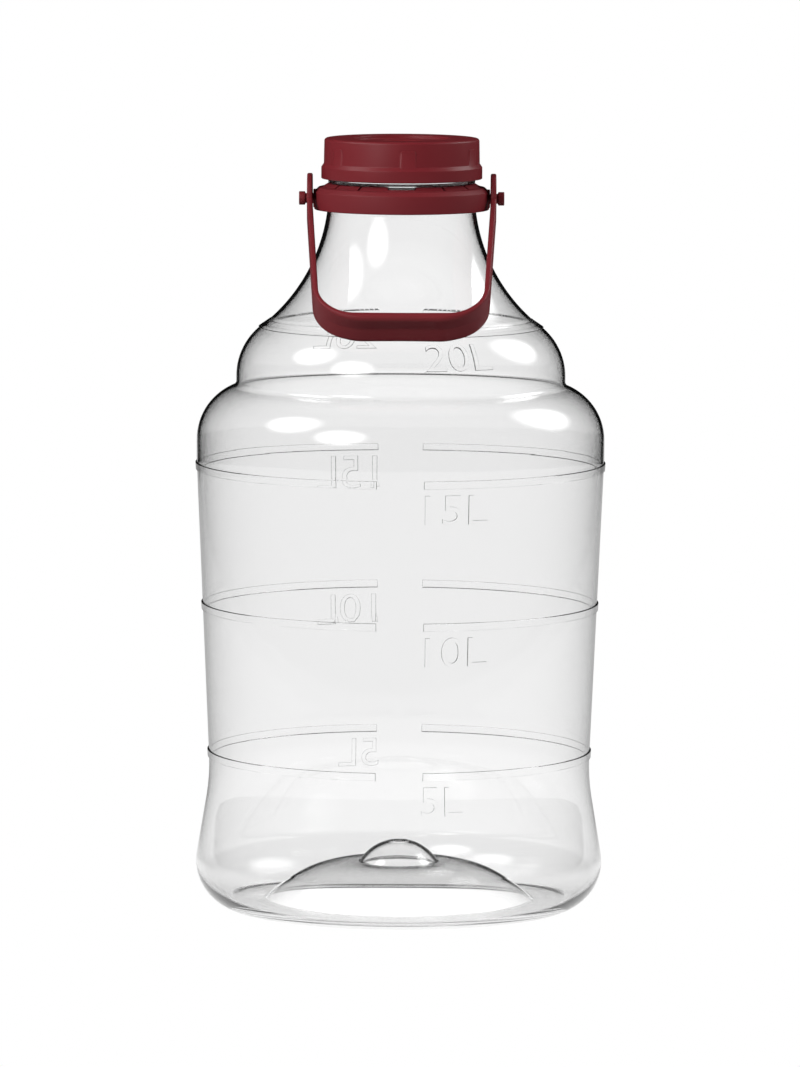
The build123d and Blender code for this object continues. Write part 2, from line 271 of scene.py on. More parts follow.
flare_centre = (
    (flare_foot[0] + flare_top[0]) / 2 + (flare_top[1] - flare_foot[1]) / flare_chord * flare_reach,
    (flare_foot[1] + flare_top[1]) / 2 + (flare_foot[0] - flare_top[0]) / flare_chord * flare_reach)
flare_start = angle_of(flare_centre, flare_foot) % 360
flare_end = angle_of(flare_centre, flare_top) % 360


def flare_wall(shoulder, neck):
    """Points up the flare, where the wall thickens evenly from the shoulder to the neck."""
    return [polar(flare_centre, flare_arc + shoulder + (neck - shoulder) * step / flare_steps,
                  flare_start + (flare_end - flare_start) * step / flare_steps)
            for step in range(flare_steps + 1)]


def side_wall(side, shoulder, neck):
    """Arcs of the bottle's side above the heel, each set in from the outside by its own wall."""
    return [(waist_centre, waist_arc + side, 180 + heel_lean, 180 - body_lean),
            (body_top - shoulder, body_top_height),
            (low_shoulder_centre, low_shoulder_arc - shoulder, 0, crease_angle),
            (crease_centre, crease_fillet + shoulder, 180 + crease_angle, 180),
            (high_shoulder_centre, high_shoulder_arc - shoulder, 0, high_shoulder_sweep),
            *flare_wall(shoulder, neck)]


gate_height = dome_centre[1] + dome_arc + gate_rise
gate_angle = 90 - math.degrees(math.asin((gate_radius + gate_edge) / dome_arc))
outside = outline(
    (0.0, gate_height),
    (gate_radius, gate_height),
    (dome_centre, dome_arc, gate_angle, dome_angle),
    (punt_centre, punt_arc, punt_angle, foot_angle),
    (foot_centre, foot_fillet, foot_angle + 180, 270),
    (heel_foot_centre, heel_fillet, -90, heel_foot_angle),
    (heel_centre, heel_arc, heel_foot_angle, heel_lean),
    *side_wall(0, 0, 0),
    (finish_radius, finish_foot_height),
    (finish_radius, bead_low),
    (bead_radius - bead_edge, bead_low),
    (bead_radius, bead_low + bead_edge),
    (bead_radius, bead_high - bead_edge),
    (bead_radius - bead_edge, bead_high),
    (finish_radius, bead_high),
    ((finish_radius - rim_rounding, rim_height - rim_rounding), rim_rounding, 0, 90))
inside = outline(
    (dome_centre, dome_arc + base_wall, 90, dome_angle),
    (punt_centre, punt_arc + base_wall, punt_angle, foot_angle),
    (foot_centre[0] + base_wall, base_wall),
    (inner_corner_centre, inner_corner, -90, heel_lean),
    *side_wall(body_wall, shoulder_wall, neck_wall),
    (mouth_radius, finish_foot_height),
    ((mouth_radius + rim_rounding, rim_height - rim_rounding), rim_rounding, 180, 90))
bottle = turned("bottle_wall", outside + inside[::-1])


def skin_radius(height):
    """Outer radius of the bottle's side at a height above the heel."""
    side = [point for point in outside if point[0] > neck_foot - 1 and point[1] > heel_height]
    for low, high in zip(side, side[1:]):
        if low[1] <= height <= high[1] and high[1] > low[1]:
            return low[0] + (high[0] - low[0]) * (height - low[1]) / (high[1] - low[1])
    return body_top


# ---------- litre bands and stop lugs ----------
# Low ridges moulded round the wall at every five litres, left open in front and behind. The two
# short lugs under the bead keep the collar from turning.
top_band_rise = 0.2
band_heights = [102.7, 201.3, 294.5, flare_foot[1] + top_band_rise]
band_depth = 5.2
band_proud = 0.95
band_draft = 0.18
band_edge = 0.2
band_root = 0.6
band_end_slant = 0.25
band_gap = 30.6
lug_half_angle = 10.1
lug_radius = 50.9
lug_drop = 3.5
lug_edge = 0.4


def ridge_section(height):
    """Section of a band: steep drafted sides, a small bevel and a foot sunk in the wall."""
    low, high = height - band_depth / 2, height + band_depth / 2
    low_skin, high_skin = skin_radius(low), skin_radius(high)
    return [(low_skin - band_root, low), (low_skin, low),
            (low_skin + band_proud - band_edge, low + band_draft),
            (low_skin + band_proud, low + band_draft + band_edge),
            (high_skin + band_proud, high - band_draft - band_edge),
            (high_skin + band_proud - band_edge, high - band_draft),
            (high_skin, high), (high_skin - band_root, high)]


def slanted(band, height, middle):
    """Draws a band's crest in at both ends, so that the ends slope like its sides."""
    skin = skin_radius(height)
    for vert in band.data.vertices:
        radius = math.hypot(vert.co.x, vert.co.y)
        if radius > (skin + band_proud / 2) * MM:
            share = 1 - band_end_slant / (skin * math.pi / 2)
            angle = math.atan2(vert.co.x, -vert.co.y) % math.tau
            angle = middle + (angle - middle) * share
            vert.co.x, vert.co.y = radius * math.sin(angle), -radius * math.cos(angle)
    return band


ridges = []
for height in band_heights:
    gap_angle = math.degrees(math.asin(band_gap / 2 / skin_radius(height)))
    for side in (0, 180):
        band = turned("band", ridge_section(height), side + gap_angle, 180 - 2 * gap_angle)
        ridges.append(slanted(band, height, math.radians(side + 90)))
for side in (0, 180):
    lug = [(finish_radius - band_root, bead_low - lug_drop), (lug_radius - lug_edge, bead_low - lug_drop),
           (lug_radius, bead_low - lug_drop + lug_edge), (lug_radius, bead_low),
           (lug_radius - lug_edge, bead_low + lug_edge), (finish_radius - band_root, bead_low + lug_edge)]
    ridges.append(turned("lug", lug, side - lug_half_angle, 2 * lug_half_angle))
combine(bottle, ridges)

# ---------- level numbers ----------
# Plain numbers in litres, raised on the wall under each band, right of the middle in front and the
# same again behind. They are as clear as the wall, so only their steep edges show.
number_height = 19.3
number_proud = 0.9
number_draft = 0.18
number_sunk = 0.5
number_foot = 0.05
number_drop = 6.8
number_widths = {"5L": 27.6, "10L": 41.8, "15L": 42.6, "20L": 45.5}
number_offsets = {"5L": 14.3, "10L": 16.4, "15L": 16.0, "20L": 16.2}
cut_spacing = 2.0
first_cut = 0.013


def measured(mesh):
    """The left, right, low and high edge of flat letters."""
    xs, ys = [v.co.x for v in mesh.vertices], [v.co.y for v in mesh.vertices]
    return min(xs), max(xs), min(ys), max(ys)


def letter_mesh(text, size, bevel, depth):
    """Flat raised letters as one mesh, each a closed solid."""
    curve = bpy.data.curves.new(text, "FONT")
    curve.body = text
    curve.size = size
    curve.resolution_u = 5
    curve.extrude = depth
    curve.bevel_depth = bevel
    curve.offset = -bevel
    letters = shown(text, curve)
    mesh = evaluated(letters)
    bpy.data.objects.remove(letters)
    return mesh


def level_number(text, top_height, facing):
    """The number bent round the wall with its top at a height, seen from a facing angle."""
    unit_low, unit_high = measured(letter_mesh(text, 1.0, 0.0, 0.0))[2:]
    mesh = letter_mesh(text, number_height / (unit_high - unit_low), number_draft, number_draft)
    left, right, low, high = measured(mesh)
    stretch = number_widths[text] / (right - left)
    solid = bmesh.new()
    solid.from_mesh(mesh)
    bmesh.ops.remove_doubles(solid, verts=solid.verts, dist=same_place)
    bmesh.ops.dissolve_degenerate(solid, edges=solid.edges, dist=same_place)
    bmesh.ops.recalc_face_normals(solid, faces=solid.faces)
    for normal, first, last in ((Vector((1, 0, 0)), left, right), (Vector((0, 1, 0)), low, high)):
        for step in range(1, int((last - first) / cut_spacing) + 1):
            everything = solid.verts[:] + solid.edges[:] + solid.faces[:]
            place = normal * (first + step * cut_spacing + first_cut)
            bmesh.ops.bisect_plane(solid, geom=everything, plane_co=place, plane_no=normal)
    middle_radius = skin_radius(top_height - number_height / 2)
    start = math.asin(number_offsets[text] / middle_radius)
    for vert in solid.verts:
        drop = high - vert.co.y
        height, radius, out = skin_below(top_height, drop)
        rise = vert.co.z / number_draft - 1
        lift = max(rise * (number_proud + number_foot) - number_foot, -number_sunk)
        angle = start + (vert.co.x - left) * stretch / middle_radius + math.radians(facing)
        radius += lift * out[0]
        height += lift * out[1]
        vert.co = (radius * math.sin(angle) * MM, -radius * math.cos(angle) * MM, height * MM)
    return made(text, solid)


def skin_below(top_height, drop):
    """Height, radius and outward slope on the wall, a drop along the surface below a height."""
    if top_height > high_shoulder_height:
        top_angle = math.degrees(math.asin((top_height - high_shoulder_height) / high_shoulder_arc))
        angle = top_angle - math.degrees(drop / high_shoulder_arc)
        radius, height = polar(high_shoulder_centre, high_shoulder_arc, angle)
        return height, radius, polar((0, 0), 1, angle)
    return top_height - drop, skin_radius(top_height - drop), (1.0, 0.0)


numbers = []
for text, band in zip(("5L", "10L", "15L", "20L"), band_heights):
    for facing in (0, 180):
        numbers.append(level_number(text, band - number_drop, facing))
combine(bottle, numbers)

# ---------- neck thread ----------
# One and a half turns of coarse right-hand thread on the neck finish, run out at both ends. The cap
# hides it until it is unscrewed.
thread_pitch = 6.0
thread_turns = 1.5
thread_proud = 1.6
thread_foot_width = 3.4
thread_crest_width = 1.6
thread_low = 489.2
thread_start = 40.0
thread_fade = 0.08
thread_end_scale = 0.25


def link(tree, source, target):
    tree.links.new(source, target)


def add_node(tree, kind, settings=None, inputs=None):
    """One node of a kind, with its settings, and its inputs set or linked by name or number."""
    node = tree.nodes.new(kind)
    for name, value in (settings or {}).items():
        setattr(node, name, value)
    for name, value in (inputs or {}).items():
        if isinstance(value, bpy.types.NodeSocket):
            link(tree, value, node.inputs[name])
        else:
            node.inputs[name].default_value = value
    return node


def maths(tree, operation, *values):
    """The result of one sum on numbers or on other nodes' results."""
    return add_node(tree, "ShaderNodeMath", {"operation": operation}, dict(enumerate(values))).outputs[0]


def geometry_tree(name, sizes):
    """A Geometry Nodes tree with a float input for each named size, and a place for its material."""
    tree = bpy.data.node_groups.new(name, "GeometryNodeTree")
    tree.interface.new_socket("Geometry", in_out="INPUT", socket_type="NodeSocketGeometry")
    for size in sizes:
        tree.interface.new_socket(size, in_out="INPUT", socket_type="NodeSocketFloat")
    tree.interface.new_socket("Material", in_out="INPUT", socket_type="NodeSocketMaterial")
    tree.interface.new_socket("Geometry", in_out="OUTPUT", socket_type="NodeSocketGeometry")
    return tree, add_node(tree, "NodeGroupInput"), add_node(tree, "NodeGroupOutput")


def grown(name, tree, settings):
    """The plain mesh that a Geometry Nodes tree makes with these inputs."""
    host = shown(name, bpy.data.meshes.new(name))
    step = host.modifiers.new("grow", "NODES")
    step.node_group = tree
    sockets = {item.name: item.identifier for item in tree.interface.items_tree if item.in_out == "INPUT"}
    for setting, value in settings.items():
        step[sockets[setting]] = value
    mesh = evaluated(host)
    host.modifiers.clear()
    host.data = mesh
    return host


def finished(tree, geometry, start, end):
    """Ends a Geometry Nodes tree in Realize Instances and Set Material."""
    real = add_node(tree, "GeometryNodeRealizeInstances", inputs={0: geometry})
    painted = add_node(tree, "GeometryNodeSetMaterial", inputs={"Geometry": real.outputs[0],
                                                               "Material": start.outputs["Material"]})
    link(tree, painted.outputs[0], end.inputs[0])


def run_out(tree, fade, end_scale):
    """The scale along a curve that shrinks a swept bar towards both of its ends."""
    place = add_node(tree, "GeometryNodeSplineParameter").outputs["Factor"]
    near = maths(tree, "MINIMUM", place, maths(tree, "SUBTRACT", 1.0, place))
    swell = add_node(tree, "ShaderNodeMapRange", {"interpolation_type": "SMOOTHSTEP"}, {
        "Value": near, "From Max": fade, "To Min": end_scale})
    return swell.outputs[0]


def thread_tree(name):
    """A helical ridge: a trapezoid carried along a spiral and shrunk at both ends."""
    tree, start, end = geometry_tree(name, (
        "Radius", "Pitch", "Turns", "Depth", "Foot", "Crest", "Facing", "Low", "Start", "Fade"))
    rise = maths(tree, "MULTIPLY", start.outputs["Pitch"], start.outputs["Turns"])
    spiral = add_node(tree, "GeometryNodeCurveSpiral", inputs={
        "Resolution": 72, "Rotations": start.outputs["Turns"], "Start Radius": start.outputs["Radius"],
        "End Radius": start.outputs["Radius"], "Height": rise, "Reverse": True})
    upright = add_node(tree, "GeometryNodeSetCurveNormal", {"mode": "Z_UP"}, {"Curve": spiral.outputs[0]})
    section = add_node(tree, "GeometryNodeCurvePrimitiveQuadrilateral", {"mode": "TRAPEZOID"}, {
        "Height": start.outputs["Depth"], "Bottom Width": start.outputs["Foot"],
        "Top Width": start.outputs["Crest"], "Offset": 0.0})
    facing = add_node(tree, "ShaderNodeCombineXYZ", inputs={"Z": start.outputs["Facing"]})
    turned_section = add_node(tree, "GeometryNodeTransform", inputs={"Geometry": section.outputs[0],
                                                                     "Rotation": facing.outputs[0]})
    swept = add_node(tree, "GeometryNodeCurveToMesh", inputs={
        "Curve": upright.outputs[0], "Profile Curve": turned_section.outputs[0], "Fill Caps": True,
        "Scale": run_out(tree, start.outputs["Fade"], thread_end_scale)})
    lift = add_node(tree, "ShaderNodeCombineXYZ", inputs={"Z": start.outputs["Low"]})
    turn = add_node(tree, "ShaderNodeCombineXYZ", inputs={"Z": start.outputs["Start"]})
    placed = add_node(tree, "GeometryNodeTransform", inputs={
        "Geometry": swept.outputs[0], "Translation": lift.outputs[0], "Rotation": turn.outputs[0]})
    finished(tree, placed.outputs[0], start, end)
    return tree


thread_ridge = thread_tree("thread_ridge")
neck_thread = grown("neck_thread", thread_ridge, {
    "Radius": finish_radius * MM, "Pitch": thread_pitch * MM, "Turns": thread_turns,
    "Depth": 2 * thread_proud * MM, "Foot": thread_foot_width * MM, "Crest": thread_crest_width * MM,
    "Low": thread_low * MM, "Start": math.radians(thread_start), "Fade": thread_fade})
combine(bottle, [neck_thread])


def linear(colour):
    """A hex sRGB colour as the linear RGBA that shaders take."""
    parts = [int(colour[place:place + 2], 16) / 255 for place in (1, 3, 5)]
    return [part / 12.92 if part <= 0.04045 else ((part + 0.055) / 1.055) ** 2.4
            for part in parts] + [1.0]


def new_material(name):
    """An empty material, its node tree, the place on the object, and the output for its surface."""
    material = bpy.data.materials.new(name)
    material.use_nodes = True
    tree = material.node_tree
    tree.nodes.clear()
    place = add_node(tree, "ShaderNodeTexCoord").outputs["Object"]
    return material, tree, place, add_node(tree, "ShaderNodeOutputMaterial")


def noise(tree, place, spacing, detail, roughness):
    """Cloudy noise whose swells are about a spacing in mm apart."""
    return add_node(tree, "ShaderNodeTexNoise", inputs={
        "Vector": place, "Scale": 1 / (spacing * MM), "Detail": detail, "Roughness": roughness}).outputs[0]


# Stretch-blown PET is glass-clear and polished by the mould. The eye sees it by its bright reflections
# and by a slow waviness where the wall cooled unevenly. The neck finish was never blown, and is hazier.
wave_spacing = 45.0
wave_height = 0.05
blown_roughness = 0.015
neck_roughness = 0.14
haze_below = 1.0
haze_above = 2.0
clear_pet, pet_tree, pet_place, pet_output = new_material("clear_blown_pet")
pet_ripple = add_node(pet_tree, "ShaderNodeBump", inputs={
    "Height": noise(pet_tree, pet_place, wave_spacing, 1.0, 0.4), "Distance": wave_height * MM,
    "Strength": 1.0})
pet_height = add_node(pet_tree, "ShaderNodeSeparateXYZ", inputs={"Vector": pet_place})
pet_haze = add_node(pet_tree, "ShaderNodeMapRange", inputs={
    "Value": pet_height.outputs["Z"], "From Min": (finish_foot_height - haze_below) * MM,
    "From Max": (finish_foot_height + haze_above) * MM, "To Min": blown_roughness,
    "To Max": neck_roughness})
pet_shader = add_node(pet_tree, "ShaderNodeBsdfPrincipled", inputs={
    "Base Color": linear("#fefefe"), "Roughness": pet_haze.outputs[0], "IOR": 1.575,
    "Transmission Weight": 1.0, "Normal": pet_ripple.outputs[0]})
link(pet_tree, pet_shader.outputs[0], pet_output.inputs["Surface"])

dressed(bottle, clear_pet)
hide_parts("bottle")
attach(bottle, "carboy")

# ---------- screw cap ----------
# One injection-moulded polyethylene cap: flared skirt, six broad grip ribs, a sunken top and a bored
# sleeve for a bung. A single coarse thread inside pulls it down on the bottle's rim.
cap_foot = 485.3
cap_top = 512.0
cap_top_radius = 51.3
cap_foot_radius = 51.6
skirt_radius = 53.3
skirt_height = 7.6
skirt_flare = 2.5
cap_wall = 2.3
cap_bore = 48.9
deck = 2.2
recess_radius = 31.8
recess_depth = 2.1
bung_bore = 15.0
bung_chamfer = 2.0
sleeve_length = 8.0
sleeve_wall = 2.4
rib_count = 6
rib_phase = 4.6
rib_width = 12.4
rib_proud = 0.5
rib_depth = 2.4
rib_edge = 0.45
rib_root = 1.0
rib_cover = 0.1
rib_top_drop = 6.0
rib_fade = 0.16
rib_end_scale = 0.55
cap_thread_reach = 1.5
cap_thread_foot_width = 3.0
cap_thread_crest_width = 1.4
cap_thread_lift = 3.4
nearly_straight = 89.9


def rounding_arc(before, corner, after, radius, steps):
    """Points of the arc that rounds a corner between its two neighbours."""
    corner = Vector(corner)
    back = (Vector(before) - corner).normalized()
    ahead = (Vector(after) - corner).normalized()
    half = back.angle(ahead) / 2
    if radius == 0 or half > math.radians(nearly_straight):
        return [tuple(corner)] * (1 if radius == 0 else steps + 1)
    reach = radius / math.tan(half)
    centre = corner + (back + ahead).normalized() * radius / math.sin(half)
    spokes = (corner + back * reach - centre, corner + ahead * reach - centre)
    return [tuple(centre + spokes[0].lerp(spokes[1], step / steps).normalized() * radius)
            for step in range(steps + 1)]


def eased(corners, steps=4):
    """A closed outline through (across, up, rounding) corners, each drawn as a small arc."""
    points = []
    for index, (across, up, rounding) in enumerate(corners):
        before, after = corners[index - 1][:2], corners[(index + 1) % len(corners)][:2]
        points += rounding_arc(before, (across, up), after, rounding, steps)
    return points


def ring_tree(name, sizes, make_piece):
    """Like pieces set round the axis: make_piece draws one at the front of a tree with these sizes."""
    tree, start, end = geometry_tree(name, ("Count", "Phase", *sizes))
    piece = make_piece(tree, start)
    spots = add_node(tree, "GeometryNodeMeshLine", inputs={"Offset": (0.0, 0.0, 0.0)})
    link(tree, start.outputs["Count"], spots.inputs["Count"])
    number = add_node(tree, "GeometryNodeInputIndex")
    share = maths(tree, "DIVIDE", number.outputs[0], start.outputs["Count"])
    turn = maths(tree, "MULTIPLY_ADD", share, math.tau, start.outputs["Phase"])
    spin = add_node(tree, "ShaderNodeCombineXYZ", inputs={"Z": turn})
    copies = add_node(tree, "GeometryNodeInstanceOnPoints", inputs={
        "Points": spots.outputs[0], "Instance": piece.outputs[0], "Rotation": spin.outputs[0]})
    finished(tree, copies.outputs[0], start, end)
    return tree


def grip_rib(tree, start):
    """A soft-edged bar bent round the axis, centred on the front."""
    sweep = maths(tree, "DIVIDE", start.outputs["Width"], start.outputs["Radius"])
    first = maths(tree, "MULTIPLY_ADD", sweep, -0.5, -math.pi / 2)
    arc = add_node(tree, "GeometryNodeCurveArc", inputs={
        "Resolution": 24, "Radius": start.outputs["Radius"], "Start Angle": first, "Sweep Angle": sweep})
    upright = add_node(tree, "GeometryNodeSetCurveNormal", {"mode": "Z_UP"}, {"Curve": arc.outputs[0]})
    section = add_node(tree, "GeometryNodeCurvePrimitiveQuadrilateral", {"mode": "RECTANGLE"}, {
        "Width": start.outputs["Depth"], "Height": start.outputs["Height"]})
    soft = add_node(tree, "GeometryNodeFilletCurve", {"mode": "POLY"}, {
        "Curve": section.outputs[0], "Radius": start.outputs["Rounding"], "Count": 4})
    bar = add_node(tree, "GeometryNodeCurveToMesh", inputs={
        "Curve": upright.outputs[0], "Profile Curve": soft.outputs[0], "Fill Caps": True,
        "Scale": run_out(tree, rib_fade, rib_end_scale)})
    lift = add_node(tree, "ShaderNodeCombineXYZ", inputs={"Z": start.outputs["Middle"]})
    return add_node(tree, "GeometryNodeTransform", inputs={"Geometry": bar.outputs[0],
                                                           "Translation": lift.outputs[0]})


skirt_top = cap_foot + skirt_height
flare_line = skirt_top + skirt_flare
skirt_inner = skirt_radius - cap_wall
rim_under = cap_top - deck
deck_under = rim_under - recess_depth
sleeve_foot = deck_under - sleeve_length
sunken = cap_top - recess_depth
cap_section = eased([
    (recess_radius, cap_top, 0.6), (cap_top_radius, cap_top, 1.8), (cap_foot_radius, flare_line, 0.9),
    (skirt_radius, skirt_top, 0.8), (skirt_radius, cap_foot, 0.5), (skirt_inner, cap_foot, 0.3),
    (skirt_inner, skirt_top, 0.4), (cap_bore, skirt_top + skirt_inner - cap_bore, 0.4),
    (cap_bore, rim_under, 0.5), (recess_radius + cap_wall, rim_under, 0.3),
    (recess_radius + cap_wall, deck_under, 0.5), (bung_bore + sleeve_wall, deck_under, 0.5),
    (bung_bore + sleeve_wall, sleeve_foot, 0.4), (bung_bore, sleeve_foot, 0.4),
    (bung_bore, sunken - bung_chamfer, 0.3), (bung_bore + bung_chamfer, sunken, 0.3),
    (recess_radius, sunken, 0.5)])
cap = turned("screw_cap_body", cap_section, steps=192)
rib_ring = ring_tree("grip_ribs", ("Radius", "Width", "Height", "Depth", "Rounding", "Middle"), grip_rib)
rib_low, rib_high = skirt_top - rib_root, cap_top - rib_top_drop
ribs = grown("ribs", rib_ring, {
    "Count": float(rib_count), "Phase": math.radians(rib_phase),
    "Radius": (cap_top_radius + rib_proud + rib_cover - rib_depth / 2) * MM, "Width": rib_width * MM,
    "Height": (rib_high - rib_low) * MM, "Depth": rib_depth * MM, "Rounding": rib_edge * MM,
    "Middle": (rib_low + rib_high) / 2 * MM})
cap_thread = grown("cap_thread", thread_ridge, {
    "Radius": cap_bore * MM, "Pitch": thread_pitch * MM, "Turns": thread_turns,
    "Depth": 2 * cap_thread_reach * MM, "Foot": cap_thread_foot_width * MM,
    "Crest": cap_thread_crest_width * MM, "Facing": math.pi, "Low": (thread_low + cap_thread_lift) * MM,
    "Start": math.radians(thread_start), "Fade": thread_fade})
combine(cap, [ribs, cap_thread])

drift_spacing = 24.0
gloss_drift = 0.05
grain_depth = 0.02


def moulded_plastic(name, colour, deep_colour, gloss, grain):
    """Coloured moulded plastic: slight drift of colour and gloss, and a spark-eroded grain."""
    material, tree, place, output = new_material(name)
    drift = noise(tree, place, drift_spacing, 3.0, 0.5)
    tint = add_node(tree, "ShaderNodeMix", {"data_type": "RGBA"}, {
        "Factor": drift, "A": linear(deep_colour), "B": linear(colour)})
    texture = add_node(tree, "ShaderNodeBump", inputs={
        "Height": noise(tree, place, grain, 2.0, 0.6), "Distance": grain_depth * MM, "Strength": 0.6})
    sheen = add_node(tree, "ShaderNodeMapRange", inputs={
        "Value": drift, "To Min": gloss - gloss_drift, "To Max": gloss + gloss_drift})
    shader = add_node(tree, "ShaderNodeBsdfPrincipled", inputs={
        "Base Color": tint.outputs[2], "Roughness": sheen.outputs[0], "IOR": 1.5,
        "Specular IOR Level": 0.35, "Normal": texture.outputs[0]})
    link(tree, shader.outputs[0], output.inputs["Surface"])
    return material


# Burgundy polyethylene from a polished tool: satin gloss, soft highlights along every edge, and a grain
# of about half a millimetre, drawn a little coarser than it is so that it shows.
burgundy_cap = moulded_plastic("burgundy_moulded_polyethylene", "#7e262d", "#77242a", 0.40, 0.8)
moulded_crease = 35.0
dressed(cap, burgundy_cap, moulded_crease)
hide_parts("screw_cap")
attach(cap, "cap")

# ---------- cap gasket ----------
# A flat ring of closed-cell polyethylene foam, stamped from sheet and sprung into the cap, where it
# seals on the bottle's rim.
gasket_inner = 42.5
gasket_outer = 48.6
gasket_low = 508.0
gasket_high = 509.8
gasket_edge = 0.35
gasket_corners = [(gasket_inner, gasket_low), (gasket_outer, gasket_low),
                  (gasket_outer, gasket_high), (gasket_inner, gasket_high)]
gasket_section = eased([(*corner, gasket_edge) for corner in gasket_corners], steps=3)
gasket = turned("cap_gasket_ring", gasket_section, steps=144)

# Foam shows its cut cells, about a third of a millimetre across, as fine pits in a dull off-white.
cell_size = 0.35
cell_depth = 0.05
foam, foam_tree, foam_place, foam_output = new_material("closed_cell_polyethylene_foam")
cells = add_node(foam_tree, "ShaderNodeTexVoronoi", inputs={
    "Vector": foam_place, "Scale": 1 / (cell_size * MM)})
pitted = add_node(foam_tree, "ShaderNodeBump", inputs={
    "Height": cells.outputs["Distance"], "Distance": cell_depth * MM, "Strength": 0.5})
foam_tint = add_node(foam_tree, "ShaderNodeMix", {"data_type": "RGBA"}, {
    "Factor": cells.outputs["Distance"], "A": linear("#cfcdc6"), "B": linear("#e3e1da")})
foam_shader = add_node(foam_tree, "ShaderNodeBsdfPrincipled", inputs={
    "Base Color": foam_tint.outputs[2], "Roughness": 0.85, "IOR": 1.5, "Normal": pitted.outputs[0]})
link(foam_tree, foam_shader.outputs[0], foam_output.inputs["Surface"])
dressed(gasket, foam)
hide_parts("cap_gasket")
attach(gasket, "gasket")

# ---------- handle collar ----------
# A moulded polypropylene ring sprung over the neck's bead: its crown is slit into fingers that snap
# under the bead, two windows take the stop lugs, and webs stiffen the hollow skirt from below.
collar_foot = 464.8
collar_radius = 57.9
collar_wall_height = 11.9
collar_ledge_radius = 55.2
collar_ledge = 479.4
collar_cone_radius = 52.3
collar_cone = 480.0
crown_radius = 48.5
crown_height = 482.2
crown_inner = 46.9
collar_inner = 49.4
collar_wall = 2.3
slit_angles = (33.0, 57.0)
slit_width = 1.8
slit_depth = 3.0
slit_overcut = 0.5
window_gap = 0.25
window_gap_angle = 0.5
overcut = 1.0
web_count = 16
web_thickness = 1.6
web_lift = 1.5
web_root = 0.5
pin_height = 472.0
boss_radius = 6.2
boss_face = 58.5
boss_root = 56.0
pin_radius = 3.3
pin_length = 5.6
head_radius = 4.5
head_thickness = 3.85
head_lead = 0.6

skirt_roof = collar_foot + collar_wall_height
groove_inner = collar_inner + collar_wall
groove_outer = collar_radius - collar_wall
collar = turned("handle_collar_ring", eased([
    (collar_inner, collar_foot, 0.3), (groove_inner, collar_foot, 0.3), (groove_inner, skirt_roof, 0.4),
    (groove_outer, skirt_roof, 0.4), (groove_outer, collar_foot, 0.3), (collar_radius, collar_foot, 0.6),
    (collar_radius, skirt_roof, 0.8), (collar_ledge_radius, collar_ledge, 0.5),
    (collar_cone_radius, collar_cone, 0.5), (crown_radius, crown_height, 0.3),
    (crown_inner, crown_height, 0.2), (crown_inner, finish_foot_height, 0.3)]), steps=216)


def block(name, low, high, turn):
    """A plain block between two corners, turned about the axis. It only ever cuts another piece."""
    solid = bmesh.new()
    middle = Matrix.Translation([(a + b) / 2 * MM for a, b in zip(low, high)])
    size = Matrix.Diagonal([*((b - a) * MM for a, b in zip(low, high)), 1.0])
    bmesh.ops.create_cube(solid, size=1.0, matrix=middle @ size)
    solid.transform(Matrix.Rotation(math.radians(turn), 4, "Z"))
    return made(name, solid)


cuts = []
for angle in slit_angles:
    for turn in (angle, -angle, 180 - angle, 180 + angle):
        cuts.append(block(
            "slit", (-slit_width / 2, -collar_cone_radius - slit_overcut, crown_height - slit_depth),
            (slit_width / 2, slit_overcut - crown_inner, crown_height + overcut), turn))
window_low, window_high = bead_low - lug_drop - window_gap, crown_height + overcut
window_inner, window_outer = crown_inner - overcut, lug_radius + window_gap
window_half_angle = lug_half_angle + window_gap_angle
for side in (0, 180):
    cuts.append(turned("window", [(window_inner, window_low), (window_outer, window_low),
                                  (window_outer, window_high), (window_inner, window_high)],
                       side - window_half_angle, 2 * window_half_angle))
combine(collar, cuts, "DIFFERENCE")


def radial_web(tree, start):
    """A plate that stands across the skirt's groove at the front."""
    size = add_node(tree, "ShaderNodeCombineXYZ", inputs={
        "X": start.outputs["Thickness"], "Y": start.outputs["Depth"], "Z": start.outputs["Height"]})
    plate = add_node(tree, "GeometryNodeMeshCube", inputs={"Size": size.outputs[0]})
    place = add_node(tree, "ShaderNodeCombineXYZ", inputs={
        "Y": maths(tree, "MULTIPLY", start.outputs["Radius"], -1.0), "Z": start.outputs["Middle"]})
    return add_node(tree, "GeometryNodeTransform", inputs={"Geometry": plate.outputs[0],
                                                           "Translation": place.outputs[0]})


web_ring = ring_tree("skirt_webs", ("Radius", "Thickness", "Depth", "Height", "Middle"), radial_web)
web_low, web_high = collar_foot + web_lift, skirt_roof + web_root
webs = grown("webs", web_ring, {
    "Count": float(web_count), "Phase": math.pi / web_count,
    "Radius": (groove_inner + groove_outer) / 2 * MM, "Thickness": web_thickness * MM,
    "Depth": (groove_outer - groove_inner + 2 * web_root) * MM, "Height": (web_high - web_low) * MM,
    "Middle": (web_low + web_high) / 2 * MM})


def laid_across(thing, side, height=0.0):
    """Turns a piece made round Z on to its side, its top towards +X or -X, and lifts it."""
    tip = Matrix.Rotation(side * math.pi / 2, 4, "Y")
    thing.data.transform(Matrix.Translation((0, 0, height * MM)) @ tip)
    return thing


head_foot = boss_face + pin_length
head_end = head_foot + head_thickness
trunnions = []
for side in (-1, 1):
    pin = turned("trunnion", eased([
        (0, boss_root, 0), (boss_radius, boss_root, 0), (boss_radius, boss_face, 0.6),
        (pin_radius, boss_face, 0.4), (pin_radius, head_foot - head_lead, 0.2),
        (head_radius, head_foot, 0.3), (head_radius, head_end, 0.5), (0, head_end, 0)]), steps=48)
    trunnions.append(laid_across(pin, side, pin_height))
combine(collar, [webs, *trunnions])

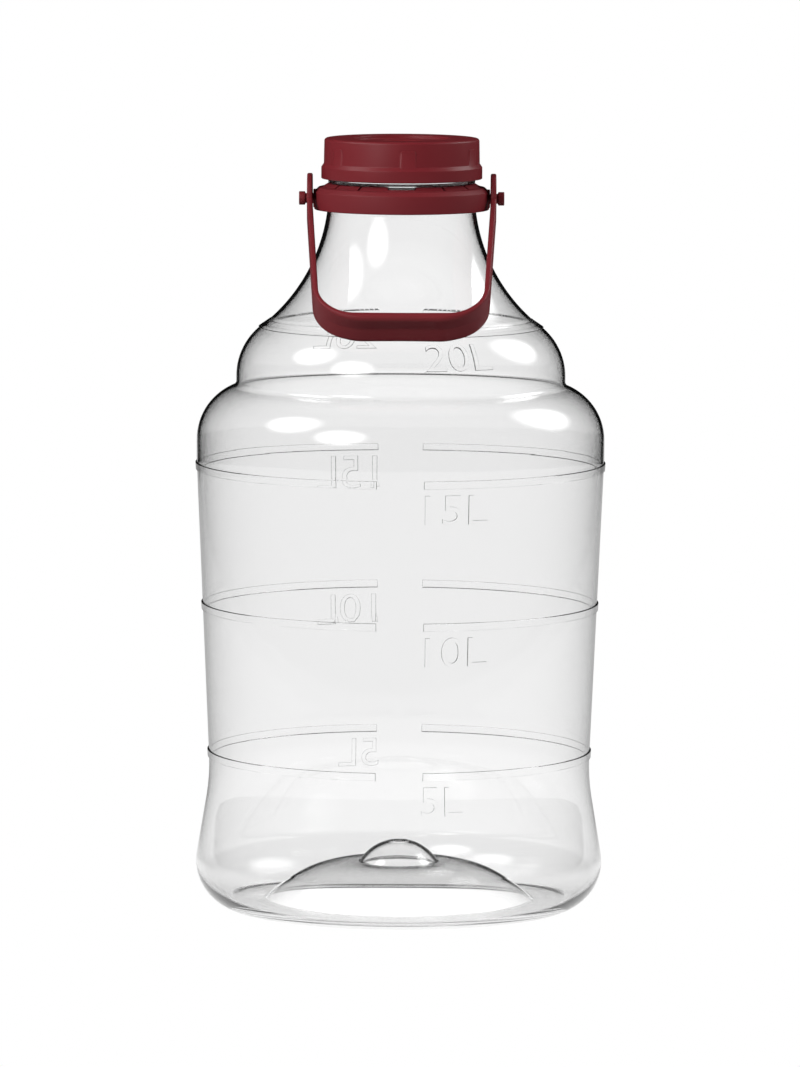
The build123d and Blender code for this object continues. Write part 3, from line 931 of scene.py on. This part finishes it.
# Burgundy polypropylene for the collar and the handle, from a tool with a fine matt grain, so it is a
# little duller than the cap.
burgundy_handle = moulded_plastic("burgundy_moulded_polypropylene", "#7d262d", "#76242a", 0.50, 0.7)
dressed(collar, burgundy_handle, moulded_crease)
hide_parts("handle_collar")
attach(collar, "carboy")

# ---------- carry handle ----------
# One polypropylene moulding: two thin strap arms that end in round eyes with a keyhole, and a thick
# grip with a dished outer face, as it sinks in when the thick plastic cools. The eyes spring over the
# pin heads.
rest_swing = 52.704
arm_gap = 0.4
arm_thickness = 3.7
arm_width = 21.7
arm_straight = 12.0
arm_lean = 3.0
arm_bend = 60.0
grip_reach = 124.0
grip_depth = 7.4
grip_inner_corner = 24.0
grip_outer_corner = 34.0
grip_hollow = 2.2
grip_valley = 5.0
arm_hollow = 0.02
arm_edge = 1.1
grip_edge = 2.6
eye_radius = 16.6
eye_edge = 1.0
seat_radius = 3.38
keyhole_offset = 9.4
keyhole_radius = 4.9
keyhole_slot = 6.0
keyhole_steps = 32
bend_steps = 4
arm_steps = 16
corner_steps = 20
grip_steps = 6
arm_inner_face = boss_face + arm_gap


def between(start, end, count):
    """The points that divide the way from a start to an end in a count of equal steps, ends included."""
    return [tuple(Vector(start).lerp(Vector(end), step / count)) for step in range(count + 1)]


def bail_half(offset, reach, corner_rounding):
    """Half the bail's outline, from the pin line round the corner to the middle of the grip."""
    face = arm_inner_face + offset
    foot = face - math.tan(math.radians(arm_lean)) * (reach - arm_straight)
    knee, turn, middle = (face, -arm_straight), (foot, -reach), (0, -reach)
    bend = rounding_arc((face, 0), knee, turn, arm_bend + offset, bend_steps)
    corner = rounding_arc(knee, turn, middle, corner_rounding, corner_steps)
    arm = between(bend[-1], corner[0], arm_steps)
    grip = between(corner[-1], middle, grip_steps)
    return [(face, 0)] + bend + arm[1:-1] + corner + grip[1:]


def bail_section(thickness):
    """Section of the bail at one place: (out, across) points, dished and rounder where it is thicker."""
    share = (thickness - arm_thickness) / (grip_depth - arm_thickness)
    share = min(max(share, 0.0), 1.0)
    edge = arm_edge + share * (grip_edge - arm_edge)
    dip = arm_hollow + share * grip_hollow
    half = arm_width / 2
    return eased([(0, -half, edge), (thickness, -half, edge), (thickness - dip, 0, grip_valley),
                  (thickness, half, edge), (0, half, edge)])


inner_line = bail_half(0, grip_reach, grip_inner_corner)
outer_line = bail_half(arm_thickness, grip_reach + grip_depth, grip_outer_corner)
stations = [(Vector(a), Vector(b)) for a, b in zip(inner_line, outer_line)]
stations += [(Vector((-a.x, a.y)), Vector((-b.x, b.y))) for a, b in stations[-2::-1]]
solid = bmesh.new()
rings = []
for inside_point, outside_point in stations:
    outward = outside_point - inside_point
    rings.append([])
    for out, across in bail_section(outward.length):
        place = inside_point + outward.normalized() * out
        rings[-1].append(solid.verts.new((place.x * MM, place.y * MM, across * MM)))
for here, there in zip(rings, rings[1:]):
    bridge(solid, here, there)
solid.faces.new(rings[0])
solid.faces.new(rings[-1])
bmesh.ops.recalc_face_normals(solid, faces=solid.faces)
handle = made("carry_handle_bail", solid)

eye_low, eye_high = arm_inner_face, arm_inner_face + arm_thickness
eyes = []
for side in (-1, 1):
    eye = turned("eye", eased([(0, eye_low, 0), (eye_radius, eye_low, eye_edge),
                               (eye_radius, eye_high, eye_edge), (0, eye_high, 0)]), steps=96)
    eyes.append(laid_across(eye, side))
combine(handle, eyes)


def keyhole(side):
    """The seat, slot and entry hole of one eye as a single cutting prism through the arm."""
    rim = []
    for centre, radius, first in (((0, 0), seat_radius, -180), ((-keyhole_offset, 0), keyhole_radius, 0)):
        slot_turn = math.degrees(math.asin(keyhole_slot / 2 / radius))
        sweep = 360 - 2 * slot_turn
        rim += [polar(centre, radius, first + slot_turn + step * sweep / keyhole_steps)
                for step in range(keyhole_steps + 1)]
    tool = bmesh.new()
    ends = [[tool.verts.new((side * x * MM, y * MM, z * MM)) for y, z in rim]
            for x in (eye_low - overcut, eye_high + overcut)]
    bridge(tool, *ends)
    for end in ends:
        tool.faces.new(end)
    bmesh.ops.recalc_face_normals(tool, faces=tool.faces)
    return made("keyhole", tool)


combine(handle, [keyhole(-1), keyhole(1)], "DIFFERENCE")
handle.data.transform(Matrix.Translation((0, 0, pin_height * MM))
                      @ Matrix.Rotation(math.radians(90 - rest_swing), 4, "X"))
dressed(handle, burgundy_handle, moulded_crease)
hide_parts("carry_handle")
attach(handle, "handle")

# ---------- studio ----------
# A white floor that glows with no lamp in it, with a painted pool of light round the bottle and a strip
# that runs on behind, a white surround, three round softboxes and two fill lights. What is seen straight
# or through the clear wall is white, and what is only mirrored is dim. Its sizes are in metres, and each
# lamp is (turn, rise, distance, width, power).
floor_radius = 2.8
floor_drop = 0.0006
strip_half_width = 0.8
strip_end = 5.0
mirrored_floor = "#b4b4b4"
mirrored_room = "#0e0e0e"
spilt_light = "#686868"
near_floor = 0.14
far_floor = 0.6
# Painted pool of light: the floor glows this much stronger just round the bottle's foot.
painted_light_pool = 1.25
bright_foot = 0.084
bright_foot_end = 0.1152
softbox_core = 0.3
softboxes = [(-78.0, 40.0, 1.5, 1.0, 13.0), (-36.5, 28.0, 1.5, 0.95, 13.0),
             (110.0, 34.0, 1.5, 1.15, 15.0)]
fill_lights = [(-50.0, 28.0, 2.0, 1.2, 30.0), (58.0, 28.0, 2.0, 1.2, 24.0)]
light_target = (0.0, 0.0, 0.38)


def seen_or_mirrored(tree, mirrored):
    """White seen straight or through clear walls, another colour when mirrored, and a dim spill."""
    path = add_node(tree, "ShaderNodeLightPath")
    colour = linear("#ffffff")
    for depth, other in (("Glossy Depth", mirrored), ("Diffuse Depth", linear(spilt_light))):
        bounced = maths(tree, "GREATER_THAN", path.outputs[depth], 0.5)
        colour = add_node(tree, "ShaderNodeMix", {"data_type": "RGBA"}, {
            "Factor": bounced, "A": colour, "B": other}).outputs[2]
    return colour


# A white floor that glows by itself, with a narrower strip that runs on behind. Its glow is painted light:
# a painted pool of light, brightest under and round the bottle, and falling off in the distance, where
# only reflections show it.
backing, backing_tree, backing_place, backing_output = new_material("floor_painted_light_pool")
backing_reach = add_node(backing_tree, "ShaderNodeVectorMath", {"operation": "LENGTH"}, {0: backing_place})
backing_fade = add_node(backing_tree, "ShaderNodeMapRange", {"interpolation_type": "SMOOTHSTEP"}, {
    "Value": backing_reach.outputs["Value"], "From Min": near_floor, "From Max": far_floor})
backing_far = add_node(backing_tree, "ShaderNodeMix", {"data_type": "RGBA"}, {
    "Factor": backing_fade.outputs[0], "A": linear("#ffffff"), "B": linear(mirrored_floor)})
backing_foot = add_node(backing_tree, "ShaderNodeMapRange", {"interpolation_type": "SMOOTHSTEP"}, {
    "Value": backing_reach.outputs["Value"], "From Min": bright_foot,
    "From Max": bright_foot_end, "To Min": painted_light_pool, "To Max": 1.0})
backing_glow = add_node(backing_tree, "ShaderNodeEmission", inputs={
    "Color": seen_or_mirrored(backing_tree, backing_far.outputs[2]),
    "Strength": backing_foot.outputs[0]})
link(backing_tree, backing_glow.outputs[0], backing_output.inputs["Surface"])
sheet = bmesh.new()
bmesh.ops.create_circle(sheet, cap_ends=True, radius=floor_radius, segments=96)
strip_start = math.sqrt(floor_radius**2 - strip_half_width**2)
sheet.faces.new([sheet.verts.new((x, y, 0)) for x, y in (
    (-strip_half_width, strip_start), (strip_half_width, strip_start),
    (strip_half_width, strip_end), (-strip_half_width, strip_end))])
bmesh.ops.translate(sheet, verts=sheet.verts, vec=(0, 0, -floor_drop))
floor = made("studio_floor", sheet)
floor.data.materials.append(backing)

room = bpy.data.worlds.new("studio_room")
room.use_nodes = True
bpy.context.scene.world = room
room.node_tree.nodes.clear()
room_glow = add_node(room.node_tree, "ShaderNodeBackground", inputs={
    "Color": seen_or_mirrored(room.node_tree, linear(mirrored_room))})
room_output = add_node(room.node_tree, "ShaderNodeOutputWorld")
link(room.node_tree, room_glow.outputs[0], room_output.inputs["Surface"])


def softbox(name, turn, rise, distance, width, power):
    """A round lamp aimed at the body's middle from a turn and a rise, brightest in its own middle."""
    lamp = bpy.data.lights.new(name, "AREA")
    lamp.shape = "DISK"
    lamp.size = width
    lamp.energy = power
    lamp.use_nodes = True
    tree = lamp.node_tree
    tree.nodes.clear()
    spot = add_node(tree, "ShaderNodeNewGeometry")
    offset = add_node(tree, "ShaderNodeVectorMath", {"operation": "SUBTRACT"}, {
        0: spot.outputs["Parametric"], 1: (0.5, 0.5, 0.0)})
    flat = add_node(tree, "ShaderNodeVectorMath", {"operation": "MULTIPLY"}, {
        0: offset.outputs[0], 1: (2.0, 2.0, 0.0)})
    reach = add_node(tree, "ShaderNodeVectorMath", {"operation": "LENGTH"}, {0: flat.outputs[0]})
    fade = add_node(tree, "ShaderNodeMapRange", {"interpolation_type": "SMOOTHSTEP"}, {
        "Value": reach.outputs["Value"], "From Min": softbox_core, "To Min": 1.0, "To Max": 0.0})
    glow = add_node(tree, "ShaderNodeEmission", inputs={"Strength": fade.outputs[0]})
    lamp_output = add_node(tree, "ShaderNodeOutputLight")
    link(tree, glow.outputs[0], lamp_output.inputs["Surface"])
    light = shown(name, lamp)
    turn, rise = math.radians(turn), math.radians(rise)
    aim = Vector((math.sin(turn) * math.cos(rise), -math.cos(turn) * math.cos(rise), math.sin(rise)))
    light.matrix_world = (Matrix.Translation(Vector(light_target) + aim * distance)
                          @ aim.to_track_quat("Z", "Y").to_matrix().to_4x4())
    light.visible_camera = False
    return light


for number, place in enumerate(softboxes, 1):
    softbox(f"softbox_{number}", *place)
for number, place in enumerate(fill_lights, 1):
    fill = softbox(f"fill_light_{number}", *place)
    fill.visible_glossy = False
    fill.visible_transmission = False
